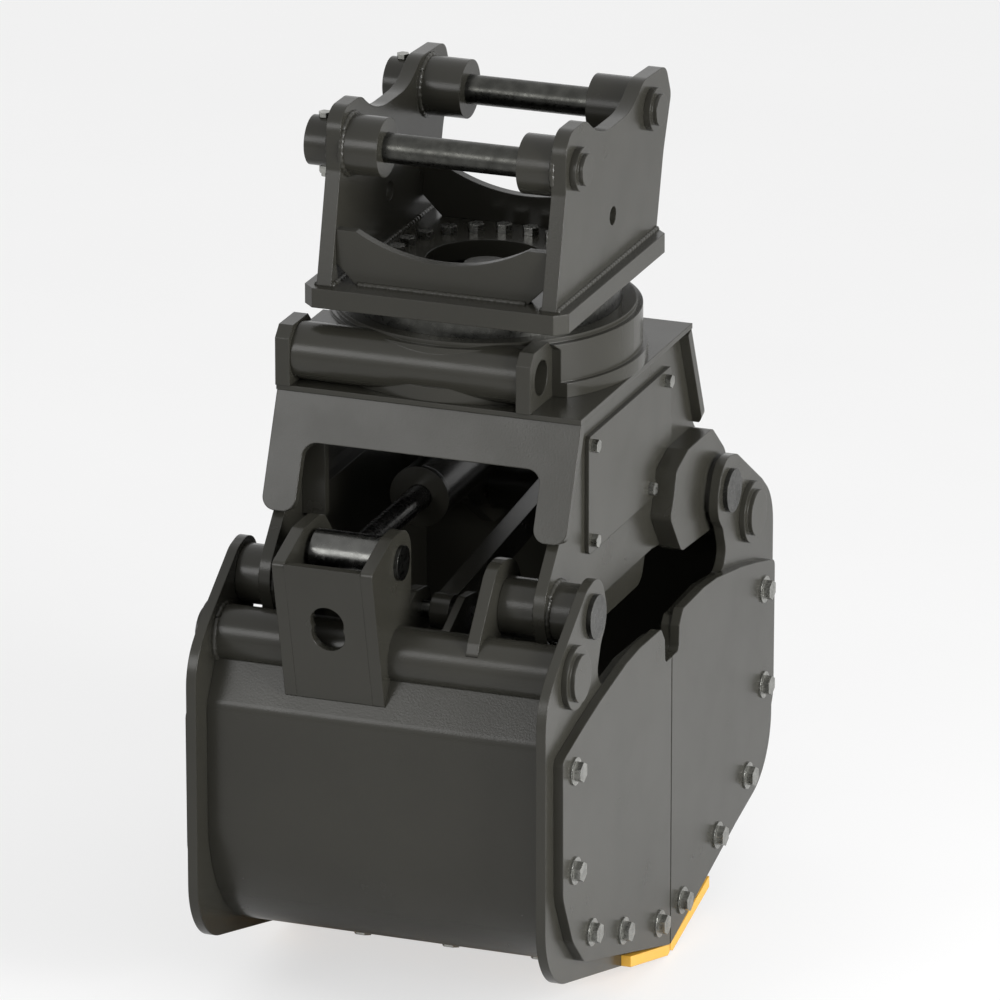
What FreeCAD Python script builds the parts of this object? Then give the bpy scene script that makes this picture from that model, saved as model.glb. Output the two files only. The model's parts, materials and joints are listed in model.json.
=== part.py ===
import FreeCAD, Part
import math
import os

# Sorting grapple. Lengths in mm, +Z up, X across, Y from the stick pin (front) to the link pin (rear).
# It is laid out about the slew axis, with heights measured from the closed lip,
# and is moved at the end so that the stick pin is the origin.

# Adapter
stick_pin_y = -164.0
link_pin_y = 263.0
pin_z = 1692.0
pin_r = 30.0
pin_seat_relief = 0.1
running_fit = 0.05
base_top = 1431.0
base_thick = 40.0
base_half_x = 277.0
base_half_y = 301.0
base_chamfer = 24.0
base_hole_r = 120.0
ear_inner_x = 221.0
ear_thick = 30.0
ear_eye_y = 44.0
ear_eye_z = 1534.0
ear_eye_r = 19.0
boss_r = 60.0
stick_gap = 292.0
link_gap = 268.0
collar_r = 50.0
collar_long = 52.0
end_disc_r = 44.0
end_disc_thick = 14.0
cross_y = 250.0
cross_thick = 22.0
cross_high = 109.0
cross_dip_r = 361.0
cross_relief = 40.0
lock_bolt_r = 8.0

# Slew drive
adapter_bolt_r = 10.0
adapter_bolt_circle = 180.0
adapter_bolt_count = 20
adapter_bolt_head_r = 17.0
adapter_bolt_head_high = 16.0
adapter_bolt_reach = 30.0
housing_r = 312.0
housing_top = 1342.0
housing_flange_r = 322.0
housing_flange_high = 30.0
rotor_r = 270.0
rotor_bore_r = 150.0
wheel_r = 226.0
union_r = 45.0
running_gap = 0.4
worm_y = -268.0
worm_z = 1290.0
worm_r = 30.0
worm_shaft_r = 20.0
tube_r = 60.0
tube_left = -290.0
tube_right = 186.0
worm_flange_thick = 30.0
motor_bore_r = 36.0

# Frame
plate_top = 1232.0
plate_thick = 25.0
plate_half_y = 325.0
side_outer_x = 300.0
side_thick = 24.0
pivot_y = 402.0
pivot_z = 859.0
pivot_r = 35.0
pivot_lobe_r = 85.0
guard_half_x = 320.0
guard_leg = 70.0
guard_thick = 20.0
guard_foot_z = 1000.0
guard_lean = 92.0
guard_window_top = 1131.0
post_wide = 50.0
post_deep = 20.0
post_y = 302.0
post_foot_z = 960.0
doubler_thick = 20.0
doubler_low = 732.0
cover_thick = 9.0
cover_front_y = -248.0
cover_rear_y = 235.0
cover_low_z = 925.0
cover_top_z = 1170.0
cover_step_y = 140.0
cover_step_z = 1000.0
cover_corner_r = 12.0
cover_bolt_inset = 26.0
pivot_boss_r = 60.0
cheek_thick = 44.0

# Shells
lip_gap = 5.0
floor_slope = math.radians(14.6)
shell_side_inner = 356.0
shell_side_thick = 20.0
wear_thick = 20.0
back_y = 615.0
skin_thick = 20.0
back_arc_r = 300.0
edge_long = 235.0
edge_thick = 22.0
edge_bolt_x = 190.0
shell_outer_y = 672.0
shell_corner_r = 150.0
tube_y = 522.0
tube_z = 774.0
torsion_r = 58.0
lug_x = 184.0
lug_thick = 25.0
shield_foot_y = 597.0
shield_foot_z = 690.0
shield_top_y = 664.0
shield_top_z = 985.0
shield_thick = 20.0
cylinder_pin_y = 512.0
cylinder_pin_z = 962.0
cylinder_pin_r = 25.0
cap_r = 64.0
cap_thick = 12.0
bolt_head_r = 21.0
bolt_head_high = 19.0

# Cylinder and sync bar
cylinder_x = -92.0
eye_r = 48.0
eye_wide = 140.0
rod_r = 25.0
barrel_r = 60.0
barrel_wall = 10.0
barrel_front_y = -120.0
gland_long = 50.0
piston_long = 60.0
sync_arm = 42.0
sync_angle = math.radians(60.0)
sync_x = 56.0
sync_wide = 40.0
sync_pin_r = 17.0
sync_slack = 6.6
sync_end_r = 36.0
sync_cheek_x = 107.0
sync_cheek_thick = 16.0


def vec(x, y, z):
    return FreeCAD.Vector(x, y, z)


def box(x0, x1, y0, y1, z0, z1):
    return Part.makeBox(x1 - x0, y1 - y0, z1 - z0, vec(x0, y0, z0))


def rod_x(radius, y, z, x0, x1):
    return Part.makeCylinder(radius, x1 - x0, vec(x0, y, z), vec(1, 0, 0))


def rod_y(radius, x, z, y0, y1):
    return Part.makeCylinder(radius, y1 - y0, vec(x, y0, z), vec(0, 1, 0))


def rod_z(radius, x, y, z0, z1):
    return Part.makeCylinder(radius, z1 - z0, vec(x, y, z0), vec(0, 0, 1))


def ring_x(radius, bore, y, z, x0, x1):
    return rod_x(radius, y, z, x0, x1).cut(rod_x(bore, y, z, x0 - 1, x1 + 1))


def mirror_x(shape):
    return shape.mirror(vec(0, 0, 0), vec(1, 0, 0))


def mirror_y(shape):
    return shape.mirror(vec(0, 0, 0), vec(0, 1, 0))


def both_sides(shape):
    return [shape, mirror_x(shape)]


def outline(corners, place):
    """A closed wire through (a, b, radius) corners, each corner rounded by its radius."""
    rounded = []
    for index, (a, b, radius) in enumerate(corners):
        here = place(a, b)
        before = place(*corners[index - 1][:2]) - here
        after = place(*corners[(index + 1) % len(corners)][:2]) - here
        before.normalize()
        after.normalize()
        half = before.getAngle(after) / 2
        if radius == 0:
            rounded.append((here, None, here))
            continue
        reach = radius / math.tan(half)
        inward = before + after
        inward.normalize()
        middle = here + inward * (radius / math.sin(half) - radius)
        rounded.append((here + before * reach, middle, here + after * reach))
    edges = []
    for index, (start, middle, end) in enumerate(rounded):
        if middle is not None:
            edges.append(Part.Arc(start, middle, end).toShape())
        following = rounded[(index + 1) % len(rounded)][0]
        if end.distanceToPoint(following) > 0.001:
            edges.append(Part.LineSegment(end, following).toShape())
    return Part.Wire(edges)


def plate_x(corners, x0, x1):
    """A plate across X from a (y, z, radius) outline."""
    wire = outline(corners, lambda y, z: vec(x0, y, z))
    return Part.Face(wire).extrude(vec(x1 - x0, 0, 0))


def plate_y(corners, y0, y1):
    """A plate across Y from an (x, z, radius) outline."""
    wire = outline(corners, lambda x, z: vec(x, y0, z))
    return Part.Face(wire).extrude(vec(0, y1 - y0, 0))


def plate_z(corners, z0, z1):
    """A plate across Z from an (x, y, radius) outline."""
    wire = outline(corners, lambda x, y: vec(x, y, z0))
    return Part.Face(wire).extrude(vec(0, 0, z1 - z0))


def hexagon(radius, centre, direction, length):
    """A bolt head: a hexagonal prism that starts at its centre and grows along the direction."""
    points = [vec(radius * math.cos(k * math.pi / 3), radius * math.sin(k * math.pi / 3), 0)
              for k in range(7)]
    head = Part.Face(Part.makePolygon(points)).extrude(vec(0, 0, length))
    head.Placement = FreeCAD.Placement(centre, FreeCAD.Rotation(vec(0, 0, 1), direction))
    return head


ear_outer_x = ear_inner_x + ear_thick
pin_seat_r = pin_r - pin_seat_relief
pin_bore_r = pin_seat_r + running_fit
base_bottom = base_top - base_thick
guard_top = plate_top - 11
pins = ((stick_pin_y, stick_gap / 2), (link_pin_y, link_gap / 2))


def adapter_plate():
    across = base_half_x - base_chamfer
    along = base_half_y - base_chamfer
    corners = []
    for sx, sy in ((1, 1), (-1, 1), (-1, -1), (1, -1)):
        pair = [(sx * base_half_x, sy * along, 0), (sx * across, sy * base_half_y, 0)]
        corners += pair if sx * sy > 0 else pair[::-1]
    plate = plate_z(corners, base_bottom, base_top)
    plate = plate.cut(rod_z(base_hole_r, 0, 0, base_bottom - 1, base_top + 1))
    for x, y in adapter_bolt_places():
        plate = plate.cut(rod_z(adapter_bolt_r + 1, x, y, base_bottom - 1, base_top + 1))
    return plate


def adapter_bolt_places():
    turn = 2 * math.pi / adapter_bolt_count
    return [(adapter_bolt_circle * math.cos(turn * (k + 0.5)),
             adapter_bolt_circle * math.sin(turn * (k + 0.5))) for k in range(adapter_bolt_count)]


def adapter_bolts():
    bolts = []
    for x, y in adapter_bolt_places():
        head = hexagon(adapter_bolt_head_r, vec(x, y, base_top), vec(0, 0, 1), adapter_bolt_head_high)
        bolts.append(head.fuse(rod_z(adapter_bolt_r, x, y, base_bottom - adapter_bolt_reach, base_top)))
    return bolts


def ear(x0, x1):
    """One ear: a lobe about each pin with a saddle between, and a leaning foot at each end."""
    corners = [(-base_half_y + 21, base_top, 0), (-226, 1655, 30), (-224, pin_z + 84, 48),
               (-112, pin_z + 84, 60), (-30, 1719, 220), (150, 1719, 160), (222, pin_z + 71, 60),
               (352, pin_z + 66, 40), (383, 1690, 30), (340, 1584, 200), (base_half_y - 1, base_top, 0)]
    plate = plate_x(corners, x0, x1)
    for pin_y, half_gap in pins:
        plate = plate.cut(rod_x(pin_bore_r, pin_y, pin_z, x0 - 1, x1 + 1))
    return plate.cut(rod_x(ear_eye_r, ear_eye_y, ear_eye_z, x0 - 1, x1 + 1))


def cross_plates():
    """The two plates between the ears, each with a dipped top edge and relieved lower corners."""
    high = base_top + cross_high
    plate = box(-ear_inner_x, ear_inner_x, -cross_y, -cross_y + cross_thick, base_top, high)
    dip_low = 61.0
    dip = rod_y(cross_dip_r, 0, base_top + dip_low + cross_dip_r, -cross_y - 1, -cross_y + cross_thick + 1)
    plate = plate.cut(dip)
    for side in (-1, 1):
        corner = side * ear_inner_x
        relief = [(corner, base_top - cross_relief, 0), (corner - side * cross_relief, base_top, 0),
                  (corner, base_top + cross_relief, 0)]
        cutter = plate_y(relief, -cross_y - 1, -cross_y + cross_thick + 1)
        plate = plate.cut(cutter)
    return [plate, mirror_y(plate)]


def pin_bosses():
    bosses = []
    for pin_y, half_gap in pins:
        boss = ring_x(boss_r, pin_bore_r, pin_y, pin_z, half_gap, ear_inner_x)
        bosses += both_sides(boss)
    return bosses


def lock_hole(pin_y, radius, z0, z1):
    return rod_z(radius, -ear_outer_x - collar_long / 2, pin_y, z0, z1)


def pin_collars():
    collars = []
    for pin_y, half_gap in pins:
        collar = ring_x(collar_r, pin_bore_r, pin_y, pin_z, -ear_outer_x - collar_long, -ear_outer_x)
        hole = lock_hole(pin_y, lock_bolt_r + 0.5, pin_z - collar_r - 1, pin_z + collar_r + 1)
        collars.append(collar.cut(hole))
    return collars


def adapter_pin(pin_y, gap):
    """A pin with its full-size journal between the bosses and slightly smaller seats in them."""
    pin = rod_x(pin_seat_r, pin_y, pin_z, -ear_outer_x - collar_long + 6, ear_outer_x)
    pin = pin.fuse(rod_x(pin_r, pin_y, pin_z, -gap / 2, gap / 2))
    return pin.cut(lock_hole(pin_y, lock_bolt_r + 0.5, pin_z - collar_r, pin_z + collar_r))


def pin_end_discs():
    discs = []
    for pin_y, half_gap in pins:
        disc = rod_x(end_disc_r, pin_y, pin_z, ear_outer_x, ear_outer_x + end_disc_thick)
        step = rod_x(end_disc_r - 12, pin_y, pin_z, ear_outer_x, ear_outer_x + end_disc_thick + 10)
        discs.append(disc.fuse(step))
    return discs


def pin_lock_bolts():
    bolts = []
    for pin_y, half_gap in pins:
        x = -ear_outer_x - collar_long / 2
        shank = lock_hole(pin_y, lock_bolt_r, pin_z - collar_r - 22, pin_z + collar_r)
        head = hexagon(13, vec(x, pin_y, pin_z + collar_r), vec(0, 0, 1), 10)
        nut = hexagon(13, vec(x, pin_y, pin_z - collar_r), vec(0, 0, -1), 14)
        bolts.append(shank.fuse(head).fuse(nut))
    return bolts


def slew_inner_ring():
    """The turning ring under the adapter plate, with the worm wheel's rim below it."""
    low = worm_z - 24
    ring = rod_z(rotor_r - running_gap, 0, 0, housing_top - 20, base_bottom)
    wheel = rod_z(wheel_r, 0, 0, low, housing_top - 20)
    ring = ring.fuse(wheel).cut(rod_z(rotor_bore_r, 0, 0, low - 1, base_bottom + 1))
    for x, y in adapter_bolt_places():
        ring = ring.cut(rod_z(adapter_bolt_r, x, y, base_bottom - adapter_bolt_reach, base_bottom + 1))
    return ring


def slew_housing():
    """The slew ring's casing, joined by flats to the tube that holds the worm."""
    body = rod_z(housing_r, 0, 0, plate_top, housing_top)
    body = body.fuse(rod_z(housing_flange_r, 0, 0, plate_top, plate_top + housing_flange_high))
    body = body.fuse(rod_z(housing_r - 12, 0, 0, housing_top, housing_top + 10))
    body = body.fuse(rod_x(tube_r - 2, worm_y, worm_z, tube_left, tube_right))
    flat = box(tube_left, tube_right, worm_y, worm_y + 120, worm_z - 46, worm_z + 46)
    body = body.fuse(flat)
    body = body.cut(worm_flange_block(tube_right, housing_flange_r))
    body = body.cut(rod_z(rotor_r, 0, 0, housing_top - 20 - running_gap, housing_top + 11))
    body = body.cut(rod_z(wheel_r + 4, 0, 0, plate_top - 1, housing_top))
    return body.cut(rod_x(worm_r + 4, worm_y, worm_z, tube_left - 1, tube_right + 1))


def worm_flange_block(x0, x1):
    """The bevelled square outline of a worm tube end, standing on the frame's top plate."""
    half = tube_r + 2
    cut = 22
    corners = [(worm_y - half + cut, worm_z + half, 0), (worm_y + half - cut, worm_z + half, 0),
               (worm_y + half, worm_z + half - cut, 0), (worm_y + half, plate_top, 0),
               (worm_y - half, plate_top, 0), (worm_y - half, worm_z + half - cut, 0)]
    return plate_x(corners, x0, x1)


def worm_flanges():
    """A flange at each end of the worm tube; the motor's bore is at the right."""
    left = worm_flange_block(tube_left - worm_flange_thick, tube_left)
    right = worm_flange_block(tube_right, tube_right + worm_flange_thick)
    bore = rod_x(motor_bore_r, worm_y, worm_z, tube_right - 1, tube_right + worm_flange_thick + 1)
    return [left, right.cut(bore)]


def worm_bearings():
    wide = 20.0
    bearings = []
    for x in (tube_left + 10, tube_right - 10 - wide):
        bearings.append(ring_x(worm_r + 4, worm_shaft_r + running_fit, worm_y, worm_z, x, x + wide))
    return bearings


def worm_shaft():
    """The worm between its bearings, with a splined bore for the motor's shaft at the right."""
    left = tube_left + 4
    right = tube_right - 4
    shaft = rod_x(worm_shaft_r, worm_y, worm_z, left, right)
    shaft = shaft.fuse(rod_x(worm_r, worm_y, worm_z, tube_left + 40, tube_right - 40))
    return shaft.cut(rod_x(10, worm_y, worm_z, right - 40, right + 1))


def rotary_union():
    return rod_z(union_r, 0, 0, plate_top, base_top - 10)


def top_plate():
    """The plate under the slew drive, stepped so that its rim laps over the guards' top edges."""
    low = plate_top - plate_thick
    rim = guard_top + 0.3
    half_y = plate_half_y - guard_thick - 8
    plate = box(-side_outer_x, side_outer_x, -half_y, half_y, low, plate_top)
    return plate.fuse(box(-guard_half_x, guard_half_x, -plate_half_y, plate_half_y, rim, plate_top))


def frame_side():
    """One frame side: a flared plate that ends in a lobe about each shell pivot."""
    inner_x = side_outer_x - side_thick
    top = plate_top - plate_thick
    shoulder = guard_lean + plate_half_y - 5
    corners = [(-post_y - 1, top, 0), (-shoulder + guard_thick + 4, guard_foot_z, 40), (-pivot_y - pivot_lobe_r, 890, 70),
               (-pivot_y - 40, pivot_z - pivot_lobe_r, 60), (-147, 808, 60)]
    corners += [(-y, z, radius) for y, z, radius in corners[::-1]]
    plate = plate_x(corners, inner_x, side_outer_x)
    for y in (-pivot_y, pivot_y):
        plate = plate.cut(rod_x(pivot_r + running_fit, y, pivot_z, inner_x - 1, side_outer_x + 1))
    return plate


def guard():
    """The front guard: a leaning plate with a window, on two legs with round feet."""
    window_x = guard_half_x - guard_leg
    top = guard_top
    tall = math.hypot(top - guard_foot_z, guard_lean)
    window = tall * (guard_window_top - guard_foot_z) / (top - guard_foot_z)
    corners = [(-guard_half_x, 0, 28), (-guard_half_x, tall, 0), (guard_half_x, tall, 0), (guard_half_x, 0, 28),
               (window_x, 0, 28), (window_x, window, 30), (-window_x, window, 30), (-window_x, 0, 28)]
    wire = outline(corners, lambda x, z: vec(x, 0, z))
    plate = Part.Face(wire).extrude(vec(0, guard_thick, 0))
    lean = math.degrees(math.atan2(guard_lean, top - guard_foot_z))
    plate.rotate(vec(0, 0, 0), vec(1, 0, 0), -lean)
    plate.translate(vec(0, -pivot_y - 10, guard_foot_z))
    level = box(-guard_half_x - 1, guard_half_x + 1, -pivot_y - 50, 0, guard_foot_z - 50, guard_foot_z)
    return plate.cut(level)


def inner_posts():
    """Square posts behind the guard's legs, inside the frame sides."""
    inner_x = side_outer_x - side_thick
    post = box(inner_x - post_wide, inner_x, -post_y, -post_y + post_deep, post_foot_z, plate_top - plate_thick)
    posts = both_sides(post)
    return posts + [mirror_y(one) for one in posts]


def doublers():
    """Stiffening plates inside the frame sides that hang below them."""
    inner_x = side_outer_x - side_thick
    corners = [(-262, 1000, 20), (-150, doubler_low, 40), (150, doubler_low, 40), (262, 1000, 20)]
    return both_sides(plate_x(corners, inner_x - doubler_thick, inner_x))


def pivot_bosses():
    """At each pivot a boss inside the frame side and a spacer ring outside it."""
    inner_x = side_outer_x - side_thick
    bore = pivot_r + running_fit
    bosses = []
    for y in (-pivot_y, pivot_y):
        inner = ring_x(pivot_boss_r, bore, y, pivot_z, lug_x + lug_thick / 2 + running_gap, inner_x)
        outer = ring_x(pivot_boss_r, bore, y, pivot_z, side_outer_x, shell_side_inner - running_gap)
        bosses += both_sides(inner) + both_sides(outer)
    return bosses


def rear_cheeks():
    """Thick pads outside the frame sides about the rear pivots, each bored for its spacer ring."""
    top = guard_foot_z - 6
    reach = pivot_y + pivot_boss_r + 10
    corners = [(237, top, 10), (169, 972, 20), (152, 918, 20), (133, 880, 20), (200, 790, 30),
               (reach, pivot_z - pivot_lobe_r, 68), (reach, pivot_z + 56, 68), (pivot_y - 20, top, 30)]
    cheek = plate_x(corners, side_outer_x, side_outer_x + cheek_thick)
    cheek = cheek.cut(rod_x(pivot_boss_r, pivot_y, pivot_z, side_outer_x - 1, side_outer_x + cheek_thick + 1))
    return both_sides(cheek)


def side_covers():
    """The raised cover on each side, stepped up at the rear to clear the cheek."""
    corner = cover_corner_r
    corners = [(cover_front_y, cover_low_z, corner), (cover_step_y, cover_low_z, corner),
               (cover_step_y, cover_step_z, corner), (cover_rear_y, cover_step_z + corner, corner),
               (cover_rear_y, cover_top_z, corner), (cover_front_y, cover_top_z, corner)]
    cover = plate_x(corners, side_outer_x, side_outer_x + cover_thick)
    return both_sides(cover)


def cover_bolts():
    high = cover_top_z - 24
    low = cover_low_z + 24
    front = cover_front_y + cover_bolt_inset
    bolts = []
    for y, z in ((front, high), (front, low), (cover_rear_y - 30, high), (cover_step_y - 30, low)):
        bolts += both_sides(hexagon(14, vec(side_outer_x + cover_thick, y, z), vec(1, 0, 0), 12))
    return bolts


def floor_z(y):
    """The underside line of a shell, rising from the lip."""
    return y * math.tan(floor_slope)


side_outer = shell_side_inner + shell_side_thick
lip_y = lip_gap / 2
step = edge_thick / math.cos(floor_slope)


def shell_side():
    """One side of the rear shell, from the lip at the split up to the lug about the pivot."""
    corner_z = floor_z(shell_outer_y)
    corners = [(lip_y, floor_z(lip_y) + step, 0), (edge_long, floor_z(edge_long) + step, 0),
               (edge_long, floor_z(edge_long), 0), (shell_outer_y, corner_z, shell_corner_r), (shell_outer_y, 760, 120), (600, 820, 30),
               (442, 925, 60), (pivot_y - 40, pivot_z + 82, 60), (pivot_y - 84, 835, 60), (360, 790, 40),
               (400, 690, 40), (230, 712, 100), (60, 705, 10), (45, 690, 10), (40, 640, 12), (lip_y, 640, 0)]
    plate = plate_x(corners, shell_side_inner, side_outer)
    return plate.cut(rod_x(pivot_r, pivot_y, pivot_z, shell_side_inner - 1, side_outer + 1))


def shell_back():
    """The curved back and floor of the shell in one bent plate."""
    inside = skin_thick / math.cos(floor_slope)
    inner_y = back_y - skin_thick
    corners = [(lip_y, floor_z(lip_y) + step, 0), (back_y, floor_z(back_y) + step, back_arc_r), (back_y, 655, 40),
               (tube_y + 36, tube_z - 24, 0), (tube_y + 20, tube_z - 40, 0), (inner_y, 650, 40),
               (inner_y, floor_z(inner_y) + step + inside, back_arc_r - skin_thick),
               (lip_y, floor_z(lip_y) + step + inside, 0)]
    plate = plate_x(corners, -shell_side_inner, shell_side_inner)
    plate = plate.cut(rod_x(torsion_r, tube_y, tube_z, -shell_side_inner - 1, shell_side_inner + 1))
    return max(plate.Solids, key=lambda solid: solid.Volume)


def cutting_edge():
    """The bolted edge bar under the lip, with a bevel at its tip and slanted ends."""
    bevel = 12.0
    corners = [(lip_y, floor_z(lip_y) + 8, 0), (lip_y + bevel, floor_z(lip_y + bevel), 0),
               (edge_long, floor_z(edge_long), 0), (edge_long, floor_z(edge_long) + step, 0),
               (lip_y, floor_z(lip_y) + step, 0)]
    reach = side_outer + wear_thick
    return plate_x(corners, -reach, reach)


def edge_bolts():
    bolts = []
    down = vec(0, math.sin(floor_slope), -math.cos(floor_slope))
    for x in (-edge_bolt_x, 0, edge_bolt_x):
        y = edge_long - 35
        bolts.append(hexagon(18, vec(x, y, floor_z(y)), down, 14))
    return bolts


def wear_plates():
    """The bolted wear plate on each side of the shell."""
    corners = [(lip_y, floor_z(lip_y) + step, 0), (504, 174, 30), (570, 240, 60), (626, 349, 60), (628, 638, 20),
               (515, 668, 0), (420, 690, 60), (270, 717, 0), (190, 723, 30), (65, 720, 12), (43, 690, 10),
               (40, 640, 12), (lip_y, 640, 0)]
    return both_sides(plate_x(corners, side_outer, side_outer + wear_thick))


def wear_bolts():
    bolts = []
    outer = side_outer + wear_thick
    for y, z in ((561, 595), (561, 387), (464, 222), (281, 157), (68, 93)):
        washer = rod_x(bolt_head_r + 7, y, z, outer, outer + 4)
        head = hexagon(bolt_head_r, vec(outer + 4, y, z), vec(1, 0, 0), bolt_head_high - 4)
        bolts += both_sides(washer.fuse(head))
    return bolts


def torsion_tube():
    wall = 12.0
    return ring_x(torsion_r, torsion_r - wall, tube_y, tube_z, -shell_side_inner, shell_side_inner)


def tube_caps():
    """Two-step end discs of the tube outside the shell's sides."""
    cap = rod_x(cap_r, tube_y, tube_z, side_outer, side_outer + cap_thick)
    cap = cap.fuse(rod_x(cap_r - 16, tube_y, tube_z, side_outer, side_outer + cap_thick + 10))
    return both_sides(cap)


def inner_lug(x):
    """A lug from the tube and back plate to the pivot."""
    corners = [(pivot_y - 70, pivot_z - 60, 50), (pivot_y - 90, pivot_z + 95, 88), (458, 957, 60), (560, 831, 0),
               (597, 740, 0), (597, 690, 0), (500, 690, 20)]
    return plate_x(corners, x - lug_thick / 2, x + lug_thick / 2)


def cylinder_lug(x, has_pivot, front):
    """A lug from the tube and back plate up to the cylinder pin; the front ones widen to a shield."""
    low_y = pivot_y - 60 if has_pivot else pivot_y + 58
    low_z = pivot_z - 66 if has_pivot else pivot_z - 40
    corners = [(low_y, low_z, 50 if has_pivot else 20), (low_y - 10, pivot_z + 40, 60 if has_pivot else 0),
               (cylinder_pin_y - 62, cylinder_pin_z + 62, 56)]
    if front:
        corners += [(cylinder_pin_y + 40, cylinder_pin_z + 62, 40), (shield_top_y, shield_top_z, 12)]
    else:
        corners += [(cylinder_pin_y + 62, cylinder_pin_z + 62, 56), (cylinder_pin_y + 70, 890, 40)]
    corners += [(shield_foot_y, shield_foot_z, 0), (500, 690, 20)]
    return plate_x(corners, x - lug_thick / 2, x + lug_thick / 2)


def sync_place(mirrored):
    """Where a shell's sync pin sits at rest: below the front pivot, above the rear one."""
    y = sync_arm * math.cos(sync_angle)
    z = sync_arm * math.sin(sync_angle)
    return (-pivot_y + y, pivot_z - z) if mirrored else (pivot_y + y, pivot_z + z)


sync_rise = sync_arm * (math.sin(sync_angle) + 1)


def sync_bar_end():
    """The bar's rear pin, at the middle of the heights that the rear shell's holes pass through."""
    y, z = sync_place(True)
    return (y + 2 * pivot_y, z + sync_rise)


def sync_cheek(front):
    """A short lug beside the middle one; the two carry the sync bar's pin."""
    y, z = sync_place(front)
    y = abs(y)
    corners = [(y - 40, z - 40, 36), (y - 40, z + 40, 36), (y + 40, z + 50, 20), (575, 800, 0), (575, 720, 0),
               (500, 715, 0)]
    return corners


def shell_lugs(front):
    """Three lugs and the sync cheek of one shell, all cut to the tube."""
    outer = inner_lug(lug_x)
    side = cylinder_lug(-lug_x, True, front)
    middle = cylinder_lug(0.0, False, front)
    corners = sync_cheek(front)
    middle = middle.fuse(plate_x(corners, -lug_thick / 2, lug_thick / 2))
    cheek = plate_x(corners, sync_cheek_x - sync_cheek_thick / 2, sync_cheek_x + sync_cheek_thick / 2)
    y, z = sync_place(front)
    bore = sync_pin_r if front else sync_pin_r + sync_slack
    lugs = []
    for lug in (outer, side, middle, cheek):
        lug = lug.cut(rod_x(torsion_r, tube_y, tube_z, -lug_x - lug_thick, lug_x + lug_thick))
        lug = lug.cut(shell_back())
        if lug.BoundBox.XMax < -lug_x + lug_thick or lug.BoundBox.XMin > lug_x - lug_thick:
            lug = lug.cut(rod_x(pivot_r, pivot_y, pivot_z, -lug_x - lug_thick, lug_x + lug_thick))
        else:
            lug = lug.cut(rod_x(bore, abs(y), z, -lug_thick, sync_cheek_x + sync_cheek_thick))
        if lug.BoundBox.XMax < lug_thick:
            lug = lug.cut(rod_x(cylinder_pin_r, cylinder_pin_y, cylinder_pin_z, -lug_x - lug_thick, lug_thick))
        lugs.append(max(lug.Solids, key=lambda solid: solid.Volume))
    return lugs


def pivot_pins():
    """The two pivot pins, welded in the inner lug and the shell side, with an end disc outside."""
    inner = lug_x - lug_thick / 2
    pin = rod_x(pivot_r, pivot_y, pivot_z, inner, side_outer)
    disc = rod_x(pivot_r + 10, pivot_y, pivot_z, side_outer, side_outer + 10)
    return both_sides(pin.fuse(disc))


def cylinder_pin():
    reach = lug_x + lug_thick / 2
    pin = rod_x(cylinder_pin_r, cylinder_pin_y, cylinder_pin_z, -reach, lug_thick / 2)
    left = rod_x(cylinder_pin_r + 10, cylinder_pin_y, cylinder_pin_z, -reach - 8, -reach)
    right = rod_x(cylinder_pin_r + 10, cylinder_pin_y, cylinder_pin_z, lug_thick / 2, lug_thick / 2 + 8)
    return pin.fuse(left).fuse(right)


def lug_plate():
    """The leaning plate between the front shell's two cylinder lugs, with an obround hole."""
    left = -lug_x + lug_thick / 2
    right = -lug_thick / 2
    deep = shield_thick * 1.03
    corners = [(-shield_foot_y, shield_foot_z, 0), (-shield_top_y, shield_top_z, 0),
               (-shield_top_y + deep, shield_top_z, 0), (-shield_foot_y + deep, shield_foot_z, 0)]
    plate = plate_x(corners, left, right).cut(mirror_y(shell_back()))
    plate = max(plate.Solids, key=lambda solid: solid.Volume)
    hole_low = rod_y(35, cylinder_x, 838, -700, -560)
    hole_high = rod_y(35, cylinder_x, 864, -700, -560)
    slot = box(cylinder_x - 35, cylinder_x + 35, -700, -560, 838, 864)
    return plate.cut(hole_low).cut(hole_high).cut(slot)


def shell_nodes(name, front):
    """Every piece of one shell by its node name."""
    pieces = {
        "side_right": shell_side(),
        "side_left": mirror_x(shell_side()),
        "back_plate": shell_back(),
        "cutting_edge": cutting_edge(),
        "edge_bolts": edge_bolts(),
        "wear_plates": wear_plates(),
        "wear_bolts": wear_bolts(),
        "torsion_tube": torsion_tube(),
        "tube_caps": tube_caps(),
        "lugs": shell_lugs(front),
        "pivot_pins": pivot_pins(),
        "cylinder_pin": cylinder_pin(),
    }
    placed = {}
    for piece, shape in pieces.items():
        whole = Part.makeCompound(shape) if isinstance(shape, list) else shape
        placed[name + "_" + piece] = mirror_y(whole) if front else whole
    return placed


def sync_pin(place, left, right):
    y, z = place
    return rod_x(sync_pin_r, y, z, left, right)


def sync_bar():
    """The bar that keeps both shells in step, with a round eye at each end."""
    front = sync_place(True)
    rear = sync_bar_end()
    x0 = sync_x - sync_wide / 2
    x1 = sync_x + sync_wide / 2
    along = vec(0, rear[0] - front[0], rear[1] - front[1])
    length = along.Length
    bar = box(x0, x1, 0, length, -sync_end_r + 8, sync_end_r - 8)
    bar.rotate(vec(0, 0, 0), vec(1, 0, 0), math.degrees(math.atan2(along.z, along.y)))
    bar.translate(vec(0, front[0], front[1]))
    for place in (front, rear):
        bar = bar.fuse(rod_x(sync_end_r, place[0], place[1], x0, x1))
    for place, bore in ((front, sync_pin_r + running_fit), (rear, sync_pin_r)):
        bar = bar.cut(rod_x(bore, place[0], place[1], x0 - 1, x1 + 1))
    return bar


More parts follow.
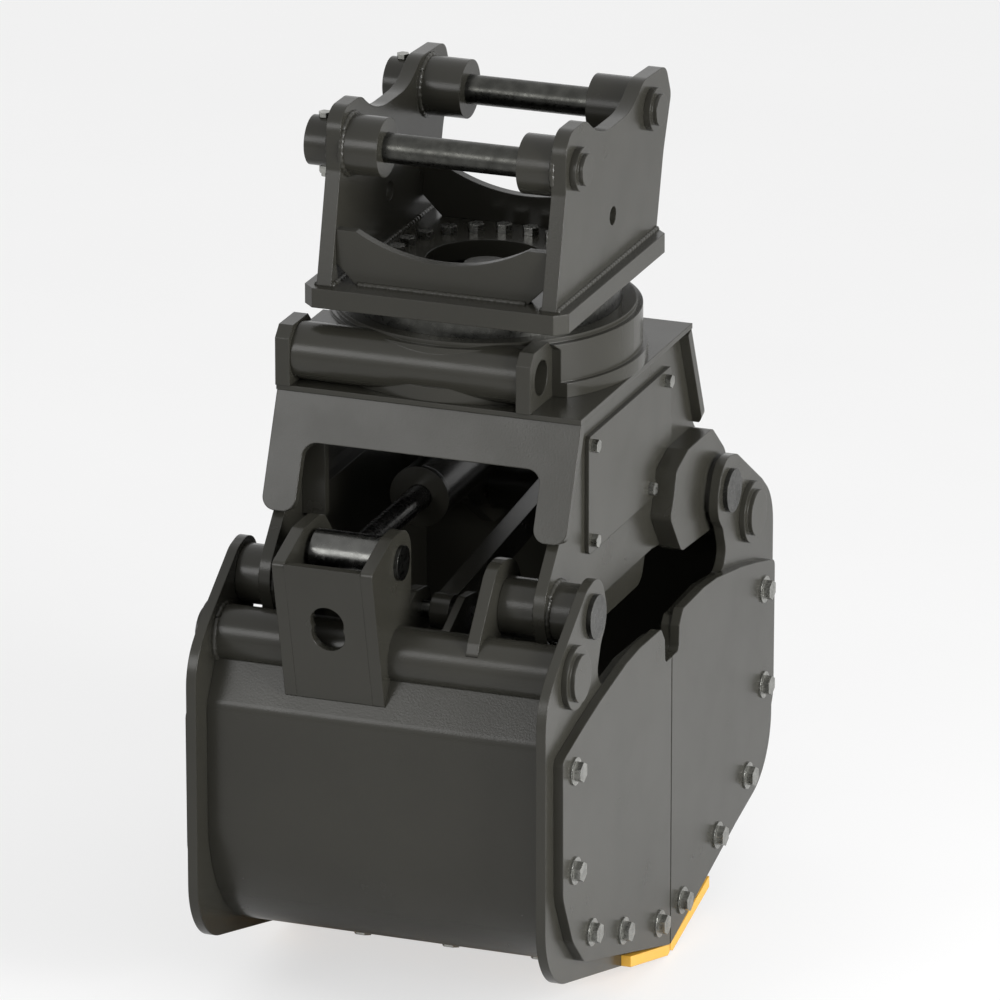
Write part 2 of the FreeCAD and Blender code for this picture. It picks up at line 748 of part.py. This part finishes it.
def sync_rear_pin():
    """The rear pin, with a washer at each end that closes the wide holes of the rear lugs."""
    left = -lug_thick / 2 - running_gap
    right = sync_cheek_x + sync_cheek_thick / 2 + running_gap
    y, z = sync_bar_end()
    outer = sync_pin_r + sync_slack + 8
    washers = [ring_x(outer, sync_pin_r, y, z, left - 6, left), ring_x(outer, sync_pin_r, y, z, right, right + 6)]
    return [sync_pin(sync_bar_end(), left - 7, right + 7)] + washers


def cylinder_rod():
    """The rod with its eye on the front shell."""
    start = -cylinder_pin_y
    left = cylinder_x - eye_wide / 2 + running_gap
    right = cylinder_x + eye_wide / 2 - running_gap
    eye = rod_x(eye_r, start, cylinder_pin_z, left, right)
    rod = rod_y(rod_r, cylinder_x, cylinder_pin_z, start, barrel_front_y + gland_long + piston_long + 20)
    bore = rod_x(cylinder_pin_r + running_fit, start, cylinder_pin_z, left - 1, right + 1)
    return rod.fuse(eye).cut(bore)


def cylinder_piston():
    start = barrel_front_y + gland_long + 20
    outer = rod_y(barrel_r - barrel_wall - running_gap, cylinder_x, cylinder_pin_z, start, start + piston_long)
    return outer.cut(rod_y(rod_r, cylinder_x, cylinder_pin_z, start - 1, start + piston_long + 1))


def cylinder_barrel():
    """The barrel with its closed end and its eye on the rear shell."""
    end = cylinder_pin_y
    left = cylinder_x - eye_wide / 2 + running_gap
    right = cylinder_x + eye_wide / 2 - running_gap
    tube = rod_y(barrel_r, cylinder_x, cylinder_pin_z, barrel_front_y, end - eye_r - 12)
    tube = tube.fuse(rod_y(eye_r - 8, cylinder_x, cylinder_pin_z, end - eye_r - 20, end))
    hollow = rod_y(barrel_r - barrel_wall, cylinder_x, cylinder_pin_z, barrel_front_y - 1, end - eye_r - 42)
    eye = rod_x(eye_r, end, cylinder_pin_z, left, right)
    bore = rod_x(cylinder_pin_r + running_fit, end, cylinder_pin_z, left - 1, right + 1)
    return tube.cut(hollow).fuse(eye).cut(bore)


def cylinder_gland():
    outer = barrel_r - barrel_wall
    gland = rod_y(outer, cylinder_x, cylinder_pin_z, barrel_front_y, barrel_front_y + gland_long)
    rim = rod_y(barrel_r + 3, cylinder_x, cylinder_pin_z, barrel_front_y - 14, barrel_front_y)
    bore = rod_y(rod_r + running_gap, cylinder_x, cylinder_pin_z, barrel_front_y - 15, barrel_front_y + gland_long + 1)
    return gland.fuse(rim).cut(bore)


nodes = {
    "adapter_plate": adapter_plate(),
    "ear_left": ear(-ear_outer_x, -ear_inner_x),
    "ear_right": ear(ear_inner_x, ear_outer_x),
    "cross_plates": cross_plates(),
    "pin_bosses": pin_bosses(),
    "pin_collars": pin_collars(),
    "stick_pin": adapter_pin(stick_pin_y, stick_gap),
    "link_pin": adapter_pin(link_pin_y, link_gap),
    "pin_end_discs": pin_end_discs(),
    "pin_lock_bolts": pin_lock_bolts(),
    "adapter_bolts": adapter_bolts(),
    "slew_inner_ring": slew_inner_ring(),
    "slew_housing": slew_housing(),
    "worm_flanges": worm_flanges(),
    "worm_bearings": worm_bearings(),
    "worm_shaft": worm_shaft(),
    "rotary_union": rotary_union(),
    "frame_top_plate": top_plate(),
    "frame_side_right": frame_side(),
    "frame_side_left": mirror_x(frame_side()),
    "guard_front": guard(),
    "guard_rear": mirror_y(guard()),
    "inner_posts": inner_posts(),
    "frame_doublers": doublers(),
    "pivot_bosses": pivot_bosses(),
    "rear_cheeks": rear_cheeks(),
    "side_covers": side_covers(),
    "cover_bolts": cover_bolts(),
    "lug_plate": lug_plate(),
    "cylinder_rod": cylinder_rod(),
    "cylinder_piston": cylinder_piston(),
    "cylinder_barrel": cylinder_barrel(),
    "cylinder_gland": cylinder_gland(),
    "sync_bar": sync_bar(),
    "sync_front_pin": sync_pin(sync_place(True), -lug_thick / 2, sync_cheek_x + sync_cheek_thick / 2),
    "sync_rear_pin": sync_rear_pin(),
}
nodes.update(shell_nodes("front", True))
nodes.update(shell_nodes("rear", False))

os.makedirs("parts", exist_ok=True)
to_stick_pin = vec(0, -stick_pin_y, -pin_z)
for name, shape in nodes.items():
    whole = Part.makeCompound(shape) if isinstance(shape, list) else shape
    whole = whole.copy()
    whole.translate(to_stick_pin)
    whole.exportStep("parts/" + name + ".step")
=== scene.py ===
import json
import math

import bmesh
import bpy
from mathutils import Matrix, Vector


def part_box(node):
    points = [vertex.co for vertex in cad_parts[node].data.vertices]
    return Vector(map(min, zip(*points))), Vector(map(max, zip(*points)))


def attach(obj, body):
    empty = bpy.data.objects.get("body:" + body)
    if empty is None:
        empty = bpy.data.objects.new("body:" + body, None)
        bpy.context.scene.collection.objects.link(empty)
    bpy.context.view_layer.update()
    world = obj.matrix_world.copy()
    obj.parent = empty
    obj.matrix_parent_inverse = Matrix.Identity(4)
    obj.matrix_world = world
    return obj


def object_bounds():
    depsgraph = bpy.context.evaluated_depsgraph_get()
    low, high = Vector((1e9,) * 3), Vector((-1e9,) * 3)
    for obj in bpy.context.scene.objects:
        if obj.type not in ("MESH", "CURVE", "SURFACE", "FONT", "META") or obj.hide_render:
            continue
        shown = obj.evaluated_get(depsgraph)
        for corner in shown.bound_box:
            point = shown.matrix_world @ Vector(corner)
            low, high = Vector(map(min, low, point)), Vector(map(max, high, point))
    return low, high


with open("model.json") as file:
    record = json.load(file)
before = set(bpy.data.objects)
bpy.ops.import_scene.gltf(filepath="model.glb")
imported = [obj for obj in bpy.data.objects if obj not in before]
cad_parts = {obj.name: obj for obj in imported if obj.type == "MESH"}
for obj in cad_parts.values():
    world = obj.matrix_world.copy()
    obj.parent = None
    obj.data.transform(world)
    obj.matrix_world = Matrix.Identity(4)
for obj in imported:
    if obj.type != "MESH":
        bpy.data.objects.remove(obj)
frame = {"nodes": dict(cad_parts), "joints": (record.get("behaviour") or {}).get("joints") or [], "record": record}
nodes = frame["nodes"]
cad_low, cad_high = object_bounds()

# Photograph's view. Lengths here and below are in metres, and the sensor's in millimetres.
VIEW_AZIMUTH = math.radians(20.59)
VIEW_ELEVATION = math.radians(19.23)
VIEW_WIDE = 2.0
VIEW_FAR = 20.0
VIEW_CLIP = 100.0
SENSOR = 36.0
# The middle of the view, to the right of the slew axis and below the origin
VIEW_SIDE = 0.0274
VIEW_DROP = 0.7693

# Surfaces
PAINT_SPECULAR = 0.28
PAINT_EDGE = 0.003
PAINT_RELIEF = 0.0005
METAL_EDGE = 0.0015
EDGE_SAMPLES = 4
BUMP_STRENGTH = 0.35

# Weld beads: the tube's radius, the step between its rings, and how much the rings differ in size
BEAD = 0.0065
BEAD_SIDES = 8
RIPPLE = 0.0045
RIPPLE_SHARE = 0.16
RIPPLE_TURN = 2.1
UNEVEN_SHARE = 0.05
UNEVEN_TURN = 5.3

# Where the beads run on the plates
EAR_FRONT_INSET = 0.024
EAR_REAR_INSET = 0.002
CROSS_INSET = 0.045
COLLAR_STEP = 0.010
TUBE_INSET = 0.002

# Studio
FLOOR_REACH = 30.0
FLOOR_GAP = 0.001
FLOOR_ROUGHNESS = 0.6
FLOOR_GLOW = 0.62
SKY_SEEN = 1.0
SKY_LIGHT = 0.75


# Materials

def new_material(name):
    material = bpy.data.materials.new(name)
    material.use_nodes = True
    tree = material.node_tree
    return material, tree, tree.nodes["Principled BSDF"]


def noise(tree, scale, detail):
    """Noise in the shared frame's metres, so it moves with the object and not with the camera."""
    place = tree.nodes.new("ShaderNodeTexCoord")
    node = tree.nodes.new("ShaderNodeTexNoise")
    node.inputs["Scale"].default_value = scale
    node.inputs["Detail"].default_value = detail
    tree.links.new(place.outputs["Object"], node.inputs["Vector"])
    return node.outputs["Fac"]


def ramp(tree, source, low, high, colour_low, colour_high):
    node = tree.nodes.new("ShaderNodeValToRGB")
    node.color_ramp.elements[0].position = low
    node.color_ramp.elements[0].color = colour_low
    node.color_ramp.elements[1].position = high
    node.color_ramp.elements[1].color = colour_high
    tree.links.new(source, node.inputs["Fac"])
    return node.outputs["Color"]


def grey(value):
    return (value, value, value, 1.0)


def shade(colour, factor):
    return tuple(min(1.0, part * factor) for part in colour) + (1.0,)


def soft_edges(tree, shader, radius, bump_source, bump_height):
    """Rounds sharp edges in the light and adds a fine surface relief."""
    edge = tree.nodes.new("ShaderNodeBevel")
    edge.samples = EDGE_SAMPLES
    edge.inputs["Radius"].default_value = radius
    bump = tree.nodes.new("ShaderNodeBump")
    bump.inputs["Strength"].default_value = BUMP_STRENGTH
    bump.inputs["Distance"].default_value = bump_height
    tree.links.new(bump_source, bump.inputs["Height"])
    tree.links.new(edge.outputs["Normal"], bump.inputs["Normal"])
    tree.links.new(bump.outputs["Normal"], shader.inputs["Normal"])


def paint(name, colour, rough):
    """Sprayed gloss paint: slight colour drift, faint haze and orange peel."""
    material, tree, shader = new_material(name)
    broad = noise(tree, scale=3.5, detail=5.0)
    drift = ramp(tree, broad, 0.35, 0.68, shade(colour, 0.93), shade(colour, 1.07))
    tree.links.new(drift, shader.inputs["Base Color"])
    cloudy = noise(tree, scale=9.0, detail=6.0)
    haze = ramp(tree, cloudy, 0.35, 0.72, grey(rough - 0.03), grey(rough + 0.04))
    tree.links.new(haze, shader.inputs["Roughness"])
    shader.inputs["Specular IOR Level"].default_value = PAINT_SPECULAR
    peel = noise(tree, scale=260.0, detail=2.0)
    soft_edges(tree, shader, PAINT_EDGE, peel, PAINT_RELIEF)
    return material


def metal(name, colour, rough, scale, relief):
    """Bare or plated steel with fine marks."""
    material, tree, shader = new_material(name)
    patches = noise(tree, scale, detail=6.0)
    tone = ramp(tree, patches, 0.35, 0.70, shade(colour, 0.75), shade(colour, 1.2))
    tree.links.new(tone, shader.inputs["Base Color"])
    shader.inputs["Metallic"].default_value = 1.0
    smears = noise(tree, scale * 3.0, detail=4.0)
    marks = ramp(tree, smears, 0.3, 0.7, grey(rough - 0.07), grey(rough + 0.10))
    tree.links.new(marks, shader.inputs["Roughness"])
    grain = noise(tree, scale * 8.0, detail=2.0)
    soft_edges(tree, shader, METAL_EDGE, grain, relief)
    return material


grey_paint = paint("grey_paint", (0.027, 0.026, 0.021), rough=0.24)
looks = {
    "grey_paint": grey_paint,
    "edge_yellow": paint("edge_yellow", (0.62, 0.34, 0.045), rough=0.38),
    "bolt_steel": metal("bolt_steel", (0.30, 0.30, 0.28), rough=0.28, scale=60.0, relief=0.0003),
    "pin_steel": metal("pin_steel", (0.060, 0.060, 0.055), rough=0.30, scale=40.0, relief=0.0003),
    "rod_steel": metal("rod_steel", (0.10, 0.10, 0.095), rough=0.22, scale=25.0, relief=0.0001),
}

for part in frame["record"]["subparts"]:
    mesh = nodes[part["node"]].data
    mesh.materials.clear()
    mesh.materials.append(looks[part["material_slot"]])


# Weld beads

def bead(name, path, closed, body):
    """A weld bead along a path of points: a thin rippled tube half sunk in the corner."""
    count = len(path)
    work = bmesh.new()
    rings = []
    for index, point in enumerate(path):
        after = path[(index + 1) % count] if closed or index + 1 < count else point
        before = path[index - 1] if closed or index else point
        along = (after - before).normalized()
        across = along.orthogonal().normalized()
        other = along.cross(across)
        ripple = RIPPLE_SHARE * math.sin(index * RIPPLE_TURN)
        uneven = UNEVEN_SHARE * math.sin(index * UNEVEN_TURN)
        size = BEAD * (1.0 + ripple + uneven)
        ring = []
        for side in range(BEAD_SIDES):
            turn = 2 * math.pi * side / BEAD_SIDES
            outward = across * math.cos(turn) + other * math.sin(turn)
            ring.append(work.verts.new(point + outward * size))
        rings.append(ring)
    for index in range(count if closed else count - 1):
        here = rings[index]
        there = rings[(index + 1) % count]
        for side in range(BEAD_SIDES):
            following = (side + 1) % BEAD_SIDES
            work.faces.new((here[side], here[following], there[following], there[side]))
    if not closed:
        work.faces.new(rings[0][::-1])
        work.faces.new(rings[-1])
    mesh = bpy.data.meshes.new(name)
    work.to_mesh(mesh)
    work.free()
    for face in mesh.polygons:
        face.use_smooth = True
    piece = bpy.data.objects.new(name, mesh)
    bpy.context.scene.collection.objects.link(piece)
    mesh.materials.append(grey_paint)
    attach(piece, body)


def straight(start, end):
    """Points along a line, one for each ring of a bead."""
    start = Vector(start)
    end = Vector(end)
    steps = max(2, int((end - start).length / RIPPLE))
    return [start.lerp(end, index / steps) for index in range(steps + 1)]


def circle(x, y, z, radius):
    """Points round an axis that runs along X."""
    steps = int(2 * math.pi * radius / RIPPLE)
    turn = 2 * math.pi / steps
    points = []
    for k in range(steps):
        points.append(Vector((x, y + radius * math.cos(turn * k), z + radius * math.sin(turn * k))))
    return points


def middle_of(node):
    low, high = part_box(node)
    return (low + high) / 2


def adapter_welds():
    """Beads at the ears' feet, at the cross plates and round the pin bosses and collars."""
    left_low, left_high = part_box("ear_left")
    right_low, right_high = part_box("ear_right")
    plate_low, plate_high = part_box("adapter_plate")
    cross_low, cross_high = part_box("cross_plates")
    foot = plate_high.z
    start = plate_low.y + EAR_FRONT_INSET
    end = plate_high.y - EAR_REAR_INSET
    ear_faces = (
        ("left_out", left_low.x),
        ("left_in", left_high.x),
        ("right_in", right_low.x),
        ("right_out", right_high.x),
    )
    for name, x in ear_faces:
        bead("weld_ear_" + name, straight((x, start, foot), (x, end, foot)), False, "adapter")
    reach = right_low.x - CROSS_INSET
    for name, y in (("front", cross_low.y), ("rear", cross_high.y)):
        bead("weld_cross_" + name, straight((-reach, y, foot), (reach, y, foot)), False, "adapter")
    boss_low, boss_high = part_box("pin_bosses")
    radius = (boss_high.z - boss_low.z) / 2
    for node in ("stick_pin", "link_pin"):
        centre = middle_of(node)
        for side, x in (("left", left_high.x), ("right", right_low.x)):
            bead("weld_boss_" + node + "_" + side, circle(x, centre.y, centre.z, radius), True, "adapter")
        collar = circle(left_low.x, centre.y, centre.z, radius - COLLAR_STEP)
        bead("weld_collar_" + node, collar, True, "adapter")


def frame_welds():
    """Beads round the pivot bosses: inside at both pivots, outside only at the front ones."""
    side_low, side_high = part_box("frame_side_right")
    boss_low, boss_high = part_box("pivot_bosses")
    radius = (boss_high.z - boss_low.z) / 2
    z = (boss_high.z + boss_low.z) / 2
    for place, y in (("front", boss_low.y + radius), ("rear", boss_high.y - radius)):
        for side in (-1, 1):
            for face, x in (("in", side_low.x), ("out", side_high.x)):
                if face == "out" and place == "rear":
                    continue
                label = "weld_pivot_" + place + "_" + face + ("_left" if side < 0 else "_right")
                bead(label, circle(side * x, y, z, radius), True, "frame")


def shell_welds(name, body):
    """Beads where the torsion tube meets the shell's side plates, on the inner faces."""
    tube_low, tube_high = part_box(name + "_torsion_tube")
    radius = (tube_high.z - tube_low.z) / 2
    centre = (tube_low + tube_high) / 2
    for side, x in (("left", tube_low.x + TUBE_INSET), ("right", tube_high.x - TUBE_INSET)):
        bead("weld_" + name + "_tube_" + side, circle(x, centre.y, centre.z, radius), True, body)


adapter_welds()
frame_welds()
shell_welds("front", "shell_front")
shell_welds("rear", "shell_rear")


# Floor, light and camera

def stage_floor():
    """A wide pale floor with the object's shadow. A share of it glows, for the camera only."""
    mesh = bpy.data.meshes.new("floor")
    reach = FLOOR_REACH
    top = cad_low.z - FLOOR_GAP
    corners = [(-reach, -reach, top), (reach, -reach, top), (reach, reach, top), (-reach, reach, top)]
    mesh.from_pydata(corners, [], [(0, 1, 2, 3)])
    floor = bpy.data.objects.new("floor", mesh)
    bpy.context.scene.collection.objects.link(floor)
    material, tree, shader = new_material("floor_white")
    tone = ramp(tree, noise(tree, scale=1.2, detail=3.0), 0.3, 0.7, grey(0.80), grey(0.83))
    tree.links.new(tone, shader.inputs["Base Color"])
    shader.inputs["Roughness"].default_value = FLOOR_ROUGHNESS
    path = tree.nodes.new("ShaderNodeLightPath")
    share = tree.nodes.new("ShaderNodeMath")
    share.operation = "MULTIPLY"
    share.inputs[1].default_value = FLOOR_GLOW
    white = tree.nodes.new("ShaderNodeEmission")
    mix = tree.nodes.new("ShaderNodeMixShader")
    out = tree.nodes["Material Output"]
    tree.links.new(path.outputs["Is Camera Ray"], share.inputs[0])
    tree.links.new(share.outputs["Value"], mix.inputs["Fac"])
    tree.links.new(shader.outputs["BSDF"], mix.inputs[1])
    tree.links.new(white.outputs["Emission"], mix.inputs[2])
    tree.links.new(mix.outputs["Shader"], out.inputs["Surface"])
    mesh.materials.append(material)


def world_light():
    """A soft even sky, white to the camera, in reflections and through clear things."""
    world = bpy.data.worlds.new("studio")
    bpy.context.scene.world = world
    world.use_nodes = True
    tree = world.node_tree
    tree.nodes.clear()
    path = tree.nodes.new("ShaderNodeLightPath")
    seen = tree.nodes.new("ShaderNodeBackground")
    seen.inputs["Color"].default_value = grey(1.0)
    seen.inputs["Strength"].default_value = SKY_SEEN
    lit = tree.nodes.new("ShaderNodeBackground")
    lit.inputs["Color"].default_value = grey(1.0)
    lit.inputs["Strength"].default_value = SKY_LIGHT
    mix = tree.nodes.new("ShaderNodeMixShader")
    out = tree.nodes.new("ShaderNodeOutputWorld")
    either = tree.nodes.new("ShaderNodeMath")
    either.operation = "MAXIMUM"
    tree.links.new(path.outputs["Is Camera Ray"], either.inputs[0])
    tree.links.new(path.outputs["Is Glossy Ray"], either.inputs[1])
    clear = tree.nodes.new("ShaderNodeMath")
    clear.operation = "MAXIMUM"
    tree.links.new(either.outputs["Value"], clear.inputs[0])
    tree.links.new(path.outputs["Is Transmission Ray"], clear.inputs[1])
    tree.links.new(clear.outputs["Value"], mix.inputs["Fac"])
    tree.links.new(lit.outputs["Background"], mix.inputs[1])
    tree.links.new(seen.outputs["Background"], mix.inputs[2])
    tree.links.new(mix.outputs["Shader"], out.inputs["Surface"])


def lamp(name, offset, size, power):
    """A square lamp that shines on the object's middle from an offset, with its power in watts."""
    target = (cad_low + cad_high) / 2
    place = target + Vector(offset)
    light = bpy.data.lights.new(name, "AREA")
    light.shape = "SQUARE"
    light.size = size
    light.energy = power
    holder = bpy.data.objects.new(name, light)
    holder.location = place
    holder.rotation_euler = (target - place).to_track_quat("-Z", "Y").to_euler()
    bpy.context.scene.collection.objects.link(holder)


def joint_place(name):
    return next(joint["pos_m"] for joint in frame["joints"] if joint["name"] == name)


def camera():
    """A long lens at the photograph's angle, so that the view is nearly parallel."""
    data = bpy.data.cameras.new("view")
    data.sensor_width = SENSOR
    data.lens = SENSOR * VIEW_FAR / VIEW_WIDE
    data.clip_end = VIEW_CLIP
    right = Vector((math.cos(VIEW_AZIMUTH), math.sin(VIEW_AZIMUTH), 0.0))
    slew = joint_place("slew")
    target = Vector((slew[0], slew[1], -VIEW_DROP)) + right * VIEW_SIDE
    flat = math.cos(VIEW_ELEVATION)
    rise = math.sin(VIEW_ELEVATION)
    back = Vector((math.sin(VIEW_AZIMUTH) * flat, -math.cos(VIEW_AZIMUTH) * flat, rise))
    holder = bpy.data.objects.new("view", data)
    holder.location = target + back * VIEW_FAR
    holder.rotation_euler = (-back).to_track_quat("-Z", "Y").to_euler()
    bpy.context.scene.collection.objects.link(holder)
    bpy.context.scene.camera = holder


stage_floor()
world_light()
lamp("side_light", offset=(4.5, -1.5, 1.2), size=2.2, power=280)
lamp("front_light", offset=(-2.5, -5.0, 2.5), size=2.0, power=60)
camera()
bpy.context.scene.view_settings.view_transform = "Standard"
